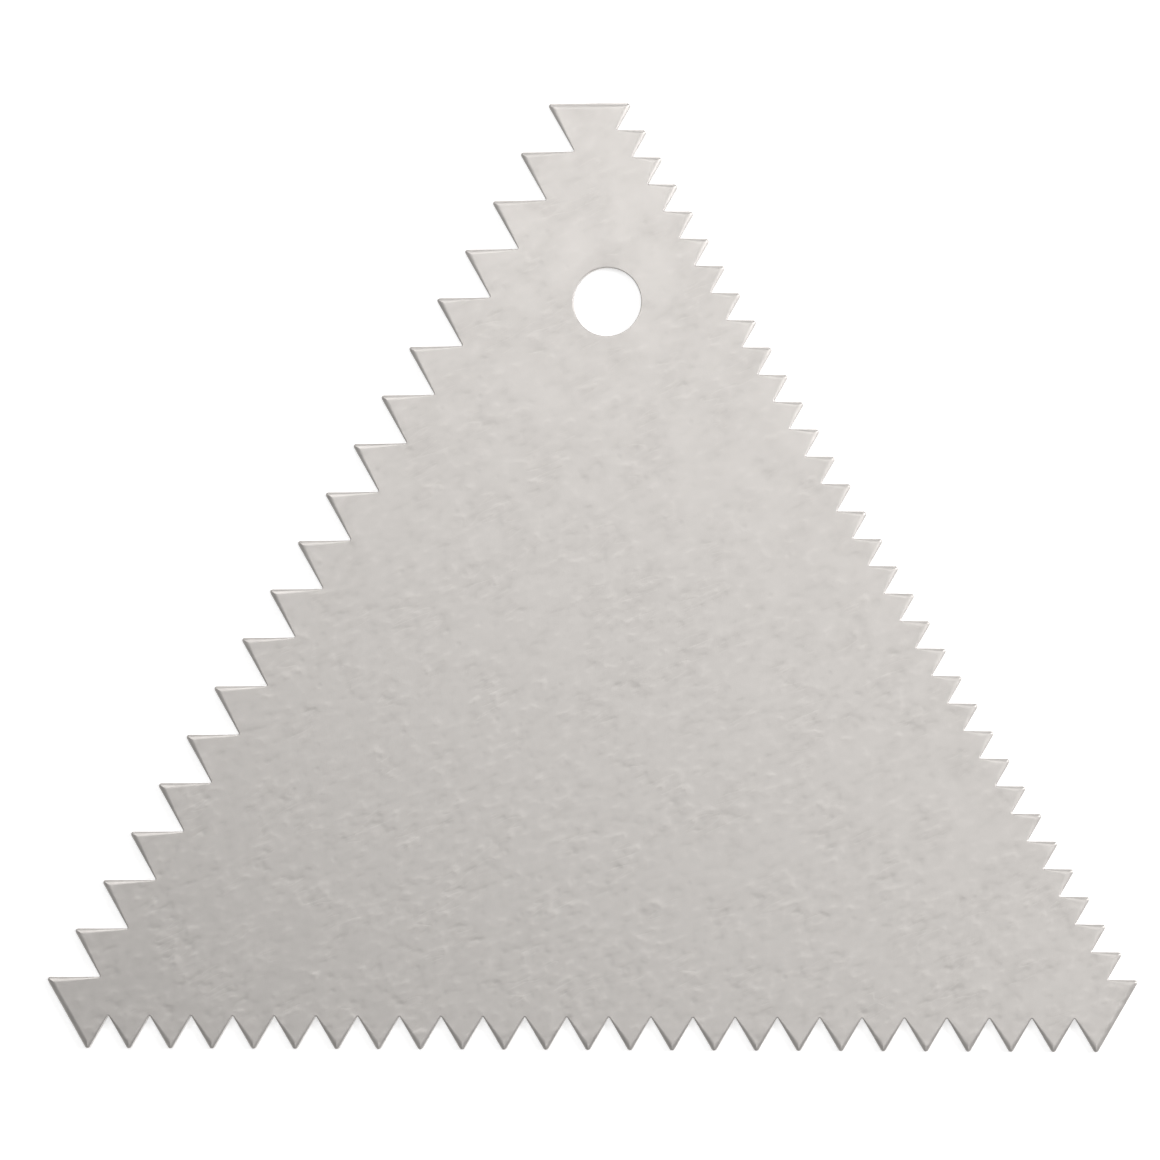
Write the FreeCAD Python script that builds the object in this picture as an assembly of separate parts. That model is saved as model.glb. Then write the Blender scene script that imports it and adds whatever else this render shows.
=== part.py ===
import FreeCAD, Part
import math
import os

# Cake comb: one flat piece of blanked aluminium sheet. It is a triangle with
# three blunted corners, and each long side is a row of V teeth with its own pitch.
# It lies on its flat underside at Z = 0. +X runs along the medium teeth, +Y
# points to the corner with the hanging hole, and the origin is the centre of
# the outline's box. Lengths are in millimetres and angles in degrees.

# Blank: the width is taken over the sharp points that the teeth would have
# if they were not blunted.
width_over_points = 101.6
corner_length = 7.94
sheet_thickness = 0.8

# Teeth: the gaps of each row share out the row's length between them
medium_gaps = 24
fine_gaps = 32
coarse_gaps = 18
gap_angle = 60.0
gap_bottom_flat = 0.12

# Edges: the punch draws the upper edge down round and leaves the lower one
# square. Each point is cut blunt, and this much of it is still flat on top.
edge_roll = 0.22
point_flat_on_top = 0.02

# Hanging hole, set over towards the fine teeth
hole_diameter = 6.35
hole_below_top = 18.5
hole_off_centre = 1.7

# The outline turns this far at each end of a corner, as all its sides make
# one equal-sided triangle. The rest follows from the sizes above.
corner_turn = 60.0
row_length = width_over_points - corner_length
blank_height = width_over_points * math.sin(math.radians(corner_turn))

up = FreeCAD.Vector(0, 0, 1)


def along(heading, length):
    angle = math.radians(heading)
    return FreeCAD.Vector(length * math.cos(angle), length * math.sin(angle), 0)


# The two ends of the flat that blunts a sharp corner, from the headings of the
# edges that come in and go out. The outline turns left at a point, where the
# roll narrows the flat towards the upper face, and right at a gap's bottom.
def blunted(corner, heading_in, heading_out):
    turn = math.radians(heading_out - heading_in)
    if turn > 0:
        flat = point_flat_on_top + 2 * edge_roll * math.tan(turn / 4)
    else:
        flat = gap_bottom_flat
    setback = flat / 2 / math.cos(turn / 2)
    return [corner - along(heading_in, setback), corner + along(heading_out, setback)]


# One row of teeth from its first point to its last. The outline runs
# anticlockwise, so each gap goes in on the left of the row's heading.
def tooth_row(start, heading, gaps):
    pitch = row_length / gaps
    depth = pitch / 2 / math.tan(math.radians(gap_angle / 2))
    flank_in = heading + 90 - gap_angle / 2
    flank_out = heading - 90 + gap_angle / 2
    outline = []
    for gap in range(gaps):
        point = start + along(heading, gap * pitch)
        bottom = point + along(heading, pitch / 2) + along(heading + 90, depth)
        came_along = flank_out if gap else heading - corner_turn
        outline += blunted(point, came_along, flank_in)
        outline += blunted(bottom, flank_in, flank_out)
    last_point = start + along(heading, row_length)
    outline += blunted(last_point, flank_out, heading + corner_turn)
    return outline


# The three rows, with a straight edge from each to the next across the corner
def comb_outline():
    outline = []
    start = FreeCAD.Vector(-row_length / 2, 0, 0)
    heading = 0.0
    for gaps in (medium_gaps, fine_gaps, coarse_gaps):
        outline += tooth_row(start, heading, gaps)
        start += along(heading, row_length) + along(heading + corner_turn, corner_length)
        heading += 2 * corner_turn
    return Part.makePolygon(outline + outline[:1])


# Section of the sheet's edge at the start of the outline: the square-cut wall,
# then the quarter-round roll that runs into the upper face
def edge_section(outline):
    first, second = outline.OrderedVertexes[0].Point, outline.OrderedVertexes[1].Point
    inward = up.cross((second - first).normalize())
    wall_top = first + up * (sheet_thickness - edge_roll)
    roll_centre = wall_top + inward * edge_roll
    roll_middle = roll_centre + (up - inward).normalize() * edge_roll
    roll_end = roll_centre + up * edge_roll
    wall = Part.LineSegment(first, wall_top).toShape()
    roll = Part.Arc(wall_top, roll_middle, roll_end).toShape()
    return Part.Wire([wall, roll])


# The flat face that closes the swept edge at one height
def closing_face(edge_faces, height):
    rim = [edge for edge in edge_faces.Edges
           if all(abs(vertex.Z - height) < 1e-6 for vertex in edge.Vertexes)]
    return Part.Face(Part.Wire(Part.sortEdges(rim)[0]))


# The blank: its edge section swept round the outline with mitred corners,
# closed by the underside and the upper face
def blank():
    outline = comb_outline()
    mitred = 1
    edge_faces = outline.makePipeShell([edge_section(outline)], False, False, mitred)
    faces = edge_faces.Faces
    faces += [closing_face(edge_faces, height) for height in (0, sheet_thickness)]
    skin = Part.makeCompound(faces)
    skin.sewShape()
    solid = Part.Solid(skin.Shells[0])
    if solid.Volume < 0:
        solid.reverse()
    return solid


# The hanging hole is pierced from above, so its upper rim is rolled as well
def pierced(sheet):
    centre = FreeCAD.Vector(hole_off_centre, blank_height - hole_below_top, 0)
    sheet = sheet.cut(Part.makeCylinder(hole_diameter / 2, sheet_thickness, centre))
    upper_rim = [edge for edge in sheet.Edges
                 if isinstance(edge.Curve, Part.Circle)
                 and abs(edge.Curve.Radius - hole_diameter / 2) < 1e-6
                 and edge.BoundBox.ZMin > sheet_thickness / 2]
    return sheet.makeFillet(edge_roll, upper_rim).Solids[0]


def comb():
    sheet = pierced(blank())
    box = sheet.BoundBox
    sheet.translate(FreeCAD.Vector(0, -(box.YMin + box.YMax) / 2, 0))
    return sheet


os.makedirs("parts", exist_ok=True)
shape = comb()
print("comb:", len(shape.Solids), "solid, valid", shape.isValid(), "faces", len(shape.Faces))
print("box", shape.BoundBox, "volume", round(shape.Volume, 3), "mm3")
shape.exportStep("parts/comb.step")
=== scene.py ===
import math

import bmesh
import bpy
from mathutils import Matrix, Vector


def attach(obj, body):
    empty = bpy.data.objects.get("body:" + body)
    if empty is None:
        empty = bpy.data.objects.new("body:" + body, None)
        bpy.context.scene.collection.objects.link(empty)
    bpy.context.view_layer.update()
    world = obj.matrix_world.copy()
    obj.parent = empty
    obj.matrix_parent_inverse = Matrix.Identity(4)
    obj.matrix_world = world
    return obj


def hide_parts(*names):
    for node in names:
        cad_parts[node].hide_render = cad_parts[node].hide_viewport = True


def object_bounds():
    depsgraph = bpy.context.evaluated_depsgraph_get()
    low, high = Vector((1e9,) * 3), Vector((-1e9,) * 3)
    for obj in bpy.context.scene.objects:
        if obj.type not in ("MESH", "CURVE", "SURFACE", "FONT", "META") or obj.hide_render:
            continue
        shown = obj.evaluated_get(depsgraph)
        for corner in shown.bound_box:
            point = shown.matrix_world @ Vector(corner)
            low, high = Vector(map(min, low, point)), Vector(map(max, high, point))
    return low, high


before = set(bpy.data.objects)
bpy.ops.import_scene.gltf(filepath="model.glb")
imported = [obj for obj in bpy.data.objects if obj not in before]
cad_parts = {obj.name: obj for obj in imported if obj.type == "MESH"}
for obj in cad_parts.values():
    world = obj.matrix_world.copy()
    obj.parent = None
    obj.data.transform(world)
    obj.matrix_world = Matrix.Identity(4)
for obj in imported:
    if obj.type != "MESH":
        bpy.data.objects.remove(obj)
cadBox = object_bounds()
print("frame loaded")

mm = 0.001
tolerance = 0.001 * mm
up = Vector((0, 0, 1))
scene = bpy.context.scene
scene.view_settings.view_transform = "Standard"


# The sheet. Millimetres and degrees, as in the solid that it stands for.
combSizes = {
    "widthOverPoints": 101.6,
    "cornerLength": 7.94,
    "thickness": 0.8,
    "gapsInRows": (24, 32, 18),  # medium, fine and coarse teeth
    "flankTurn": 60.0,           # between a row and its flanks, and from side to side
    "pointRadius": 0.25,
    "gapBottomRadius": 0.1,
    "smallestRadius": 0.01,
    "cornerSteps": 4,
    "holeDiameter": 6.35,
    "holeBelowTop": 18.5,
    "holeOffCentre": 1.7,
    "holeSteps": 64,
    "burrRadius": 0.03,          # tumbled off the square lower edge
    "edgeSteps": 2,
    "rollWidth": 0.55,           # the punch draws the upper edge down over this width
    "rollTilt": 38.0,            # and this steeply at the wall
    "rollSteps": 6,
    "wallCornerRadius": 0.04,    # where the roll meets the wall
    "gapRollShare": 0.25,        # the roll is small in hollow corners
    "holeRollShare": 0.2,
    "wallLean": 0.3,             # faces that lean less than this from upright are the wall
}


def alongHeading(heading, length):
    return Matrix.Rotation(math.radians(heading), 3, "Z") @ Vector((length, 0, 0))


def vertsIn(geometry):
    return [item for item in geometry if isinstance(item, bmesh.types.BMVert)]


# An arc in the section of the edge. Its angles say how far the surface faces upwards.
def sectionArc(start, radius, firstAngle, lastAngle, steps):
    first = math.radians(firstAngle)
    points = []
    for step in range(steps + 1):
        angle = math.radians(firstAngle + (lastAngle - firstAngle) * step / steps)
        points.append((start[0] - radius * (math.cos(angle) - math.cos(first)),
                       start[1] + radius * (math.sin(angle) - math.sin(first))))
    return points


# The sheet's section at an edge, from the underside up: how far in from the wall and how
# high, in metres. The share narrows the roll and its corner.
def edgeSection(rollShare):
    sizes = combSizes
    burrRadius = sizes["burrRadius"] * mm
    cornerRadius = sizes["wallCornerRadius"] * rollShare * mm
    tilt = math.radians(sizes["rollTilt"])
    rollWidth = sizes["rollWidth"] * rollShare * mm
    rollRadius = (rollWidth - cornerRadius * (1 - math.sin(tilt))) / math.sin(tilt)
    rollDrop = cornerRadius * math.cos(tilt) + rollRadius * (1 - math.cos(tilt))
    wallTop = (0, sizes["thickness"] * mm - rollDrop)
    facing = 90 - sizes["rollTilt"]
    burr = sectionArc((burrRadius, 0), burrRadius, -90, 0, sizes["edgeSteps"])
    wallCorner = sectionArc(wallTop, cornerRadius, 0, facing, sizes["edgeSteps"])
    roll = sectionArc(wallCorner[-1], rollRadius, facing, 90, sizes["rollSteps"])
    return burr + wallCorner + roll[1:]


# Runs the outline on from its free end to a corner, and round it
def roundCorner(bm, end, corner, headingIn, turn, radius):
    setback = radius * math.tan(math.radians(abs(turn) / 2))
    start = corner - alongHeading(headingIn, setback)
    if end is None:
        end = bm.verts.new(start)
    else:
        end = bmesh.ops.extrude_vert_indiv(bm, verts=[end])["verts"][0]
        end.co = start
    centre = start + alongHeading(headingIn + math.copysign(90, turn), radius)
    arc = bmesh.ops.spin(bm, geom=[end], cent=centre, axis=up, angle=math.radians(turn),
                         steps=combSizes["cornerSteps"])
    return vertsIn(arc["geom_last"])[0]


# The three rows of teeth, with a straight edge across the corner after each. The flanks
# lie at 60 degrees to their row, so an inset moves a whole row in by twice as much.
def drawOutline(pointInset, pointHeight, bottomInset, bottomHeight):
    sizes = combSizes
    width = sizes["widthOverPoints"] * mm
    corner = sizes["cornerLength"] * mm
    flankTurn = sizes["flankTurn"]
    pointRadius = max(sizes["pointRadius"] * mm - pointInset, sizes["smallestRadius"] * mm)
    bottomRadius = sizes["gapBottomRadius"] * mm + bottomInset
    row = width - corner
    rowStart = Vector((-row / 2, cadBox[1].y - width * math.sin(math.radians(flankTurn)), 0))
    heading = 0.0
    bm = bmesh.new()
    end = None
    for gaps in sizes["gapsInRows"]:
        pitch = row / gaps
        inwards = heading + flankTurn
        outwards = heading - flankTurn
        toPoint = alongHeading(heading + 90, 2 * pointInset) + up * pointHeight
        toBottom = alongHeading(heading + 90, 2 * bottomInset) + up * bottomHeight
        for gap in range(gaps):
            tooth = rowStart + alongHeading(heading, gap * pitch)
            end = roundCorner(bm, end, tooth + toPoint, outwards, 2 * flankTurn, pointRadius)
            end = roundCorner(bm, end, tooth + alongHeading(inwards, pitch) + toBottom,
                              inwards, -2 * flankTurn, bottomRadius)
        rowStart += alongHeading(heading, row)
        end = roundCorner(bm, end, rowStart + toPoint, outwards, 2 * flankTurn, pointRadius)
        rowStart += alongHeading(inwards, corner)
        heading += 2 * flankTurn
    bm.verts.ensure_lookup_table()
    bmesh.ops.contextual_create(bm, geom=[end, bm.verts[0]])
    outline = bpy.data.meshes.new("outline")
    bm.to_mesh(outline)
    bm.free()
    return outline


# The blank is a stack of outlines that follow the section, bridged and closed
def drawBlank(bm):
    outlines = []
    for atPoint, atBottom in zip(edgeSection(1), edgeSection(combSizes["gapRollShare"])):
        outline = drawOutline(*atPoint, *atBottom)
        drawn = len(bm.edges)
        bm.from_mesh(outline)
        bpy.data.meshes.remove(outline)
        bm.edges.ensure_lookup_table()
        outlines.append(bm.edges[drawn:])
    for lower, upper in zip(outlines, outlines[1:]):
        bmesh.ops.bridge_loops(bm, edges=lower + upper)
    for outline in (outlines[0], outlines[-1]):
        bmesh.ops.contextual_create(bm, geom=outline)


# Opens a crossing of edges out to a round rim
def openCrossing(bm, centre, radius):
    crossing = min(bm.verts, key=lambda vert: (vert.co - centre).length)
    opened = bmesh.ops.bevel(bm, geom=[crossing], offset=radius, offset_type="OFFSET",
                             segments=1, profile=0.5, affect="VERTICES", material=-1)
    square = opened["faces"][0]
    sides = list(square.edges)
    bmesh.ops.delete(bm, geom=[square], context="FACES_ONLY")
    split = bmesh.ops.subdivide_edges(bm, edges=sides, cuts=combSizes["holeSteps"] // 4 - 1)
    for vert in vertsIn(split["geom_inner"]):
        vert.co = centre + (vert.co - centre).normalized() * radius
    return [edge for edge in bm.edges
            if all(abs((vert.co - centre).length - radius) < tolerance for vert in edge.verts)]


# Two cuts cross at the hole's centre. Their crossings in the upper face and the
# underside are opened out, and the rims are joined through the sheet.
def pierceHole(bm):
    section = edgeSection(combSizes["holeRollShare"])
    radius = combSizes["holeDiameter"] / 2 * mm
    axis = Vector((combSizes["holeOffCentre"] * mm,
                   cadBox[1].y - combSizes["holeBelowTop"] * mm, 0))
    for normal in ((1, 0, 0), (0, 1, 0)):
        bmesh.ops.bisect_plane(bm, geom=bm.verts[:] + bm.edges[:] + bm.faces[:],
                               dist=tolerance, plane_co=axis, plane_no=normal)
    lowRim, rim = [openCrossing(bm, axis + up * height, radius + inset)
                   for inset, height in (section[0], section[-1])]
    for above, below in zip(section[:1:-1], section[-2:0:-1]):
        lowered = bmesh.ops.extrude_edge_only(bm, edges=rim)["geom"]
        rim = [item for item in lowered if isinstance(item, bmesh.types.BMEdge)
               and all(vert in lowered for vert in item.verts)]
        narrower = (radius + below[0]) / (radius + above[0])
        bmesh.ops.scale(bm, vec=(narrower, narrower, 1), verts=vertsIn(lowered),
                        space=Matrix.Translation(-axis))
        bmesh.ops.translate(bm, vec=up * (below[1] - above[1]), verts=vertsIn(lowered))
    bmesh.ops.bridge_loops(bm, edges=rim + lowRim)


def buildComb():
    bm = bmesh.new()
    drawBlank(bm)
    pierceHole(bm)
    bmesh.ops.recalc_face_normals(bm, faces=bm.faces[:])
    for face in bm.faces:
        face.smooth = True
        face.material_index = 1 if abs(face.normal.z) < combSizes["wallLean"] else 0
    print("comb mesh:", len(bm.verts), "vertices,", len(bm.faces), "faces,",
          round(bm.calc_volume() / mm ** 3, 2), "mm3,",
          sum(not edge.is_manifold for edge in bm.edges), "open edges, shortest",
          round(min(edge.calc_length() for edge in bm.edges) / mm, 4), "mm")
    mesh = bpy.data.meshes.new("combSheet")
    bm.to_mesh(mesh)
    bm.free()
    piece = bpy.data.objects.new("combSheet", mesh)
    scene.collection.objects.link(piece)
    evened = piece.modifiers.new("flatFacesStayFlat", "WEIGHTED_NORMAL")
    evened.weight = 100  # the large flat faces decide
    evened.keep_sharp = True
    return piece


# Adds a node, sets its plain settings, and fills its sockets from values or other nodes
def addNode(tree, kind, sockets=None, **settings):
    node = tree.nodes.new(kind)
    for name, value in settings.items():
        setattr(node, name, value)
    for name, value in (sockets or {}).items():
        if isinstance(value, bpy.types.NodeSocket):
            tree.links.new(value, node.inputs[name])
        else:
            node.inputs[name].default_value = value
    return node


def calculate(tree, operation, *values):
    return addNode(tree, "ShaderNodeMath", dict(enumerate(values)), operation=operation).outputs[0]


def spreadOver(tree, value, low, high, toLow=0.0, toHigh=1.0, softly=False):
    return addNode(tree, "ShaderNodeMapRange", {
        "Value": value, "From Min": low, "From Max": high, "To Min": toLow, "To Max": toHigh,
    }, interpolation_type="SMOOTHSTEP" if softly else "LINEAR").outputs["Result"]


def mixTones(tree, share, first, second):
    return addNode(tree, "ShaderNodeMix", {0: share, 6: first, 7: second},
                   data_type="RGBA").outputs[2]


# What the tumbled marks are made from, as levels of their noises
markLevels = {
    "clouds": (0.35, 0.65),          # from the faintest patches to the strongest
    "cloudStrength": (0.5, 1.5),     # and what they do to the grain
    "evenGrain": 0.5,                # mostly faint,
    "spottyGrain": 5.0,              # with a few strong spots
    "scratchWidth": 0.05,
    "scratchWaver": 0.4,
    "scratchedClouds": (0.54, 0.6),  # scratches show only in these clouds
    "pitEdge": (0.2, 0.02),          # from a pit's rim to its floor
    "pittedCells": 0.5,
}


# The finishes. Sizes in millimetres.
aluminiumLook = {
    "tone": (0.651, 0.623, 0.598, 1),
    "darkTone": (0.609, 0.583, 0.559, 1),
    "grainTurn": 27.0,               # degrees from the medium teeth
    "grainSize": (1.5, 1.0, 1.0),
    "scratchSize": (4.2, 0.8, 0.8),
    "pitSpacing": 1.9,
    "cloudSize": 3.6,
    "grainDepth": 0.023,
    "wear": (1.35, 0.5),             # the marks are plainest at the medium teeth
    "grainTones": (0.3, 0.7),        # grain from the dark tone to the light one
    "scratchTone": 0.5,              # scratches are lighter,
    "pitTone": 0.5,                  # and pits darker
    "scratchDepth": 0.12,            # beside the grain's depth
    "pitDepth": 0.25,
    "roughness": (0.47, 0.53),
}
shearedLook = {
    "tone": (0.74, 0.715, 0.69, 1),
    "tornTone": (0.6, 0.58, 0.56, 1),
    "tornHeight": 0.34,              # the sheet tore below this, and was cut clean above
    "tornWave": 0.16,
    "tornBlur": 0.02,
    "dragWidth": 0.12,               # lines that the punch leaves down the wall
    "dragLength": 2.4,
    "dragDepth": 0.004,
    "roughness": (0.36, 0.62),
}


# What tumbling leaves on sheet metal, each from 0 to 1: grain of short blurred dashes
# that is stronger in some patches, a few thin scratches, and small round pits
def makeTumbledMarks():
    levels = markLevels
    group = bpy.data.node_groups.new("tumbledMarks", "ShaderNodeTree")
    for name, kind in (("Vector", "NodeSocketVector"), ("Turn", "NodeSocketVector"),
                       ("Grain Size", "NodeSocketVector"), ("Scratch Size", "NodeSocketVector"),
                       ("Pit Spacing", "NodeSocketFloat"), ("Cloud Size", "NodeSocketFloat"),
                       ("Wear", "NodeSocketFloat")):
        group.interface.new_socket(name, in_out="INPUT", socket_type=kind)
    for name in ("Grain", "Scratches", "Pits", "Clouds"):
        group.interface.new_socket(name, in_out="OUTPUT", socket_type="NodeSocketFloat")
    given = group.nodes.new("NodeGroupInput").outputs

    def noiseAlong(size, detail, waver=0.0):
        laid = addNode(group, "ShaderNodeMapping", {
            "Vector": given["Vector"], "Rotation": given["Turn"], "Scale": given[size],
        }, vector_type="TEXTURE").outputs["Vector"]
        return addNode(group, "ShaderNodeTexNoise", {
            "Vector": laid, "Scale": 1.0, "Detail": detail, "Distortion": waver,
        }).outputs["Fac"]

    clouds = addNode(group, "ShaderNodeTexNoise", {
        "Vector": given["Vector"], "Scale": calculate(group, "DIVIDE", 1.0, given["Cloud Size"]),
        "Detail": 2.0,
    }).outputs["Fac"]
    strength = spreadOver(group, clouds, *levels["clouds"], *levels["cloudStrength"])
    strength = calculate(group, "MULTIPLY", strength, given["Wear"])

    grain = calculate(group, "SUBTRACT", noiseAlong("Grain Size", 1.0), 0.5)
    spots = calculate(group, "MULTIPLY", grain, calculate(group, "ABSOLUTE", grain))
    grain = calculate(group, "ADD", calculate(group, "MULTIPLY", grain, levels["evenGrain"]),
                      calculate(group, "MULTIPLY", spots, levels["spottyGrain"]))
    grain = calculate(group, "ADD", calculate(group, "MULTIPLY", grain, strength), 0.5)

    # a scratch runs where a stretched noise crosses its middle
    ridge = calculate(group, "SUBTRACT",
                      noiseAlong("Scratch Size", 0.0, levels["scratchWaver"]), 0.5)
    ridge = spreadOver(group, calculate(group, "ABSOLUTE", ridge), levels["scratchWidth"], 0.0,
                       softly=True)
    chance = spreadOver(group, clouds, *levels["scratchedClouds"], softly=True)
    scratches = calculate(group, "MULTIPLY", ridge, chance)

    cells = addNode(group, "ShaderNodeTexVoronoi", {
        "Vector": given["Vector"], "Scale": calculate(group, "DIVIDE", 1.0, given["Pit Spacing"]),
    })
    hollows = spreadOver(group, cells.outputs["Distance"], *levels["pitEdge"], softly=True)
    draw = addNode(group, "ShaderNodeSeparateColor", {"Color": cells.outputs["Color"]}).outputs[0]
    pits = calculate(group, "MULTIPLY", hollows,
                     calculate(group, "GREATER_THAN", draw, levels["pittedCells"]))
    addNode(group, "NodeGroupOutput", {"Grain": grain, "Scratches": scratches, "Pits": pits,
                                       "Clouds": clouds})
    return group


def objectPlace(tree):
    return addNode(tree, "ShaderNodeTexCoord").outputs["Object"]


# Starts a material with the tumbled marks laid on the object
def startMetal(name, markGroup):
    look = aluminiumLook
    material = bpy.data.materials.new(name)
    material.use_nodes = True
    tree = material.node_tree
    tree.nodes.clear()
    place = objectPlace(tree)
    marks = addNode(tree, "ShaderNodeGroup", node_tree=markGroup)
    tree.links.new(place, marks.inputs["Vector"])
    marks.inputs["Turn"].default_value = (0, 0, math.radians(look["grainTurn"]))
    marks.inputs["Grain Size"].default_value = [size * mm for size in look["grainSize"]]
    marks.inputs["Scratch Size"].default_value = [size * mm for size in look["scratchSize"]]
    marks.inputs["Pit Spacing"].default_value = look["pitSpacing"] * mm
    marks.inputs["Cloud Size"].default_value = look["cloudSize"] * mm
    upwards = addNode(tree, "ShaderNodeSeparateXYZ", {"Vector": place}).outputs["Y"]
    wear = spreadOver(tree, upwards, cadBox[0].y, cadBox[1].y, *look["wear"])
    tree.links.new(wear, marks.inputs["Wear"])
    return material, tree, marks.outputs


def finishMetal(tree, colour, roughness, height, depth):
    normal = addNode(tree, "ShaderNodeBump", {
        "Height": height, "Distance": depth * mm,
    }).outputs["Normal"]
    metal = addNode(tree, "ShaderNodeBsdfPrincipled", {
        "Base Color": colour, "Metallic": 1.0, "Roughness": roughness, "Normal": normal,
    })
    addNode(tree, "ShaderNodeOutputMaterial", {"Surface": metal.outputs["BSDF"]})


# Both faces and the roll
def makeTumbledAluminium(markGroup):
    look = aluminiumLook
    material, tree, marks = startMetal("tumbledAluminium", markGroup)
    tint = spreadOver(tree, marks["Grain"], *look["grainTones"])
    tint = calculate(tree, "ADD", tint,
                     calculate(tree, "MULTIPLY", marks["Scratches"], look["scratchTone"]))
    tint = calculate(tree, "SUBTRACT", tint,
                     calculate(tree, "MULTIPLY", marks["Pits"], look["pitTone"]))
    roughness = spreadOver(tree, marks["Clouds"], *markLevels["clouds"], *look["roughness"])
    sunk = calculate(tree, "ADD", calculate(tree, "MULTIPLY", marks["Pits"], look["pitDepth"]),
                     calculate(tree, "MULTIPLY", marks["Scratches"], look["scratchDepth"]))
    height = calculate(tree, "SUBTRACT", marks["Grain"], sunk)
    finishMetal(tree, mixTones(tree, tint, look["darkTone"], look["tone"]), roughness, height,
                look["grainDepth"])
    return material


# The wall: cut clean and streaked by the punch at the top, and torn rough below
def makeShearedEdge(markGroup):
    look = shearedLook
    material, tree, marks = startMetal("shearedEdge", markGroup)
    place = objectPlace(tree)
    level = addNode(tree, "ShaderNodeSeparateXYZ", {"Vector": place}).outputs["Z"]
    border = calculate(tree, "SUBTRACT", marks["Grain"], 0.5)
    border = calculate(tree, "MULTIPLY", border, look["tornWave"] * mm)
    border = calculate(tree, "ADD", border, look["tornHeight"] * mm)
    blur = look["tornBlur"] * mm
    torn = spreadOver(tree, calculate(tree, "SUBTRACT", border, level), -blur, blur)
    width = look["dragWidth"] * mm
    drawn = addNode(tree, "ShaderNodeMapping", {
        "Vector": place, "Scale": (width, width, look["dragLength"] * mm),
    }, vector_type="TEXTURE").outputs["Vector"]
    drag = addNode(tree, "ShaderNodeTexNoise", {
        "Vector": drawn, "Scale": 1.0, "Detail": 2.0,
    }).outputs["Fac"]
    rough = addNode(tree, "ShaderNodeTexNoise", {
        "Vector": place, "Scale": 1 / width, "Detail": 4.0, "Roughness": 0.6,
    }).outputs["Fac"]
    height = addNode(tree, "ShaderNodeMix", {0: torn, 2: drag, 3: rough}).outputs[0]
    roughness = spreadOver(tree, torn, 0, 1, *look["roughness"])
    finishMetal(tree, mixTones(tree, torn, look["tone"], look["tornTone"]), roughness, height,
                look["dragDepth"])
    return material


comb = buildComb()
tumbledMarks = makeTumbledMarks()
comb.data.materials.append(makeTumbledAluminium(tumbledMarks))
comb.data.materials.append(makeShearedEdge(tumbledMarks))
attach(comb, "root")
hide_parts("comb")
print("comb built")


# The stage: a wide white floor whose rim rises all round
stageSizes = {
    "radius": 2.6,       # metres
    "sides": 64,
    "rimHeight": 0.5,
    "rimSpread": 1.15,
    "belowSheet": 0.02,  # mm
    "floorTone": 0.8,
    "floorWhite": 0.5,   # added where the floor is looked at, or mirrored in metal
}


def makePaleFloor():
    material = bpy.data.materials.new("paleFloor")
    material.use_nodes = True
    tree = material.node_tree
    tree.nodes.clear()
    tone = stageSizes["floorTone"]
    matt = addNode(tree, "ShaderNodeBsdfDiffuse", {"Color": (tone, tone, tone, 1)}).outputs[0]
    rays = tree.nodes.new("ShaderNodeLightPath").outputs
    seen = calculate(tree, "MAXIMUM", rays["Is Camera Ray"], rays["Is Glossy Ray"])
    seen = calculate(tree, "MAXIMUM", seen, rays["Is Transmission Ray"])
    strength = calculate(tree, "MULTIPLY", seen, stageSizes["floorWhite"])
    glow = addNode(tree, "ShaderNodeEmission", {"Strength": strength}).outputs[0]
    both = addNode(tree, "ShaderNodeAddShader", {0: matt, 1: glow}).outputs[0]
    addNode(tree, "ShaderNodeOutputMaterial", {"Surface": both})
    return material


def buildFloor():
    sizes = stageSizes
    bm = bmesh.new()
    bmesh.ops.create_circle(bm, cap_ends=True, radius=sizes["radius"], segments=sizes["sides"])
    rim = vertsIn(bmesh.ops.extrude_edge_only(bm, edges=bm.edges[:])["geom"])
    bmesh.ops.scale(bm, vec=(sizes["rimSpread"], sizes["rimSpread"], 1), verts=rim)
    bmesh.ops.translate(bm, vec=up * sizes["rimHeight"], verts=rim)
    bmesh.ops.translate(bm, vec=-up * sizes["belowSheet"] * mm, verts=bm.verts[:])
    for face in bm.faces:
        face.smooth = len(face.verts) == 4
    mesh = bpy.data.meshes.new("floor")
    bm.to_mesh(mesh)
    bm.free()
    floor = bpy.data.objects.new("floor", mesh)
    scene.collection.objects.link(floor)
    mesh.materials.append(makePaleFloor())


buildFloor()
print("floor built")


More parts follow.
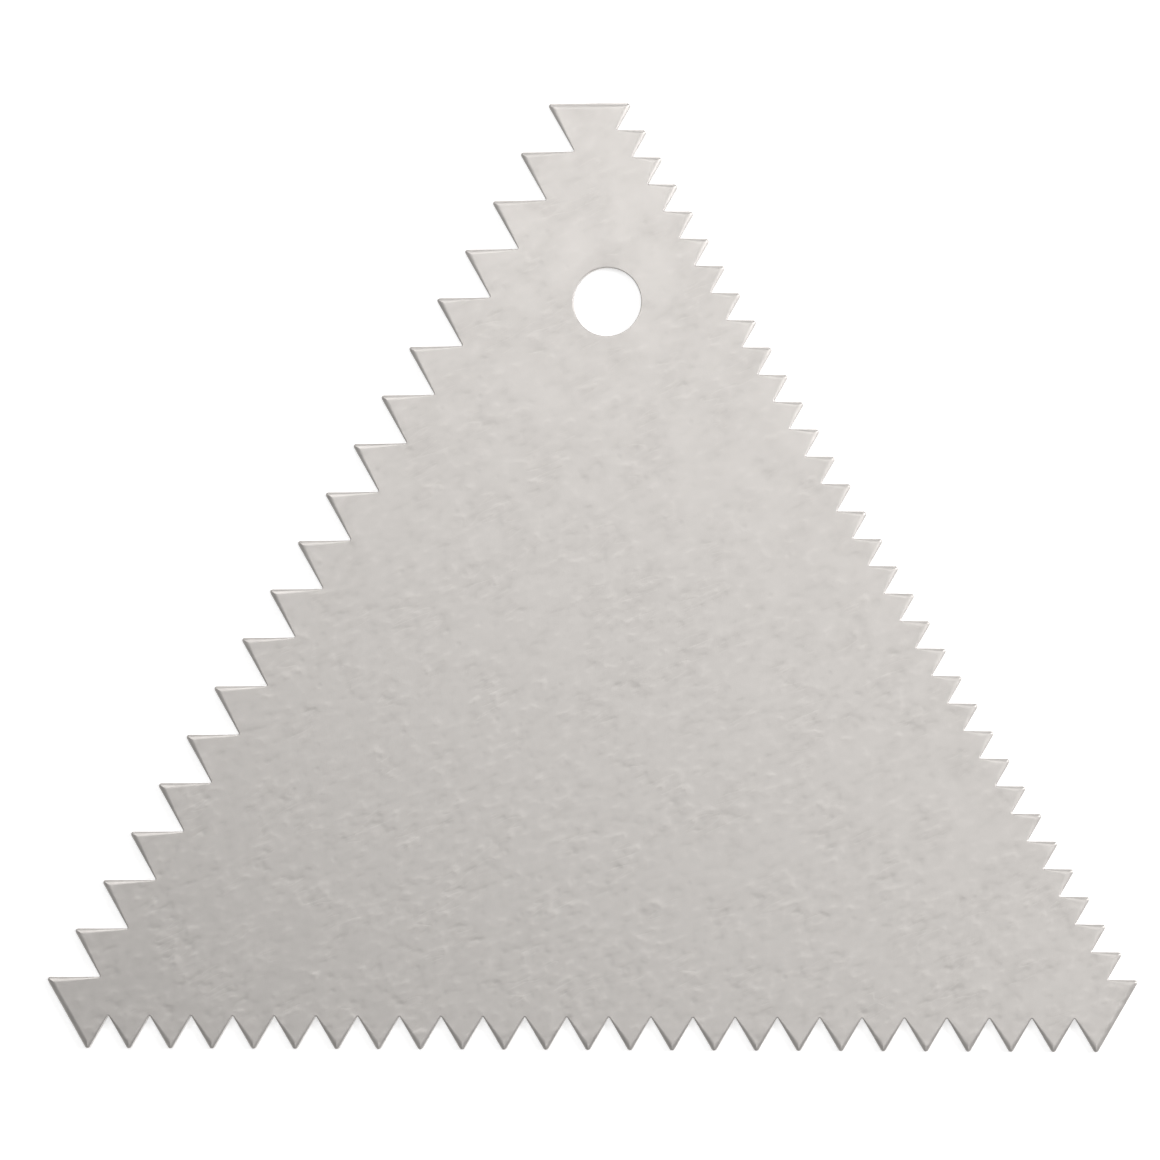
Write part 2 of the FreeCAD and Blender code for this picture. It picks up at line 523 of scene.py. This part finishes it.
# Light: dim even surroundings and five soft lamps, most of them beyond the top corner,
# all aimed at the sheet. The lower left gets the least.
lightLevels = {
    "surroundings": 0.24,
    "lampDistance": 0.45,  # metres
    "lampWidth": 0.22,     # metres
    "lamps": {
        # turn and rise in degrees, and power in watts
        "rightLamp": (10, 35, 1.0),
        "overheadLamp": (-30, 72, 0.21),
        "highTopLamp": (90, 72, 0.26),
        "lowTopLamp": (90, 12, 0.32),
        "leftTopLamp": (130, 55, 0.37),
    },
}


def buildLights():
    world = bpy.data.worlds.new("dimStudio")
    scene.world = world
    world.use_nodes = True
    background = world.node_tree.nodes["Background"]
    level = lightLevels["surroundings"]
    background.inputs["Color"].default_value = (level, level, level, 1)
    for name, (turn, rise, power) in lightLevels["lamps"].items():
        light = bpy.data.lights.new(name, "AREA")
        light.shape = "DISK"
        light.size = lightLevels["lampWidth"]
        light.energy = power
        lamp = bpy.data.objects.new(name, light)
        rise = math.radians(rise)
        aim = alongHeading(turn, math.cos(rise)) + up * math.sin(rise)
        lamp.location = aim * lightLevels["lampDistance"]
        lamp.rotation_euler = (-lamp.location).to_track_quat("-Z", "Y").to_euler()
        scene.collection.objects.link(lamp)


buildLights()
print("lights placed")


# The camera looks almost straight down, from a little right of the sheet and below it
cameraSettings = {
    "lens": 225.0,
    "distance": 671.0,             # mm from the point it aims at
    "aim": (-0.769, -0.424, 0.8),  # mm
    "leanRight": 6.393,            # degrees
    "leanDown": 2.493,
    "roll": 0.1,
    "sensorWidth": 36.0,           # mm
    "nearestSeen": 0.05,           # metres
}


def buildCamera():
    settings = cameraSettings
    backwards = Vector((math.tan(math.radians(settings["leanRight"])),
                        -math.tan(math.radians(settings["leanDown"])), 1)).normalized()
    rightwards = Vector((0, 1, 0)).cross(backwards).normalized()
    turned = Matrix((rightwards, backwards.cross(rightwards), backwards)).transposed()
    turned = turned @ Matrix.Rotation(math.radians(settings["roll"]), 3, "Z")
    camera = bpy.data.objects.new("camera", bpy.data.cameras.new("camera"))
    camera.data.lens = settings["lens"]
    camera.data.sensor_width = settings["sensorWidth"]
    camera.data.clip_start = settings["nearestSeen"]
    camera.location = (Vector(settings["aim"]) + backwards * settings["distance"]) * mm
    camera.rotation_euler = turned.to_euler()
    scene.collection.objects.link(camera)
    scene.camera = camera


buildCamera()
print("camera placed")
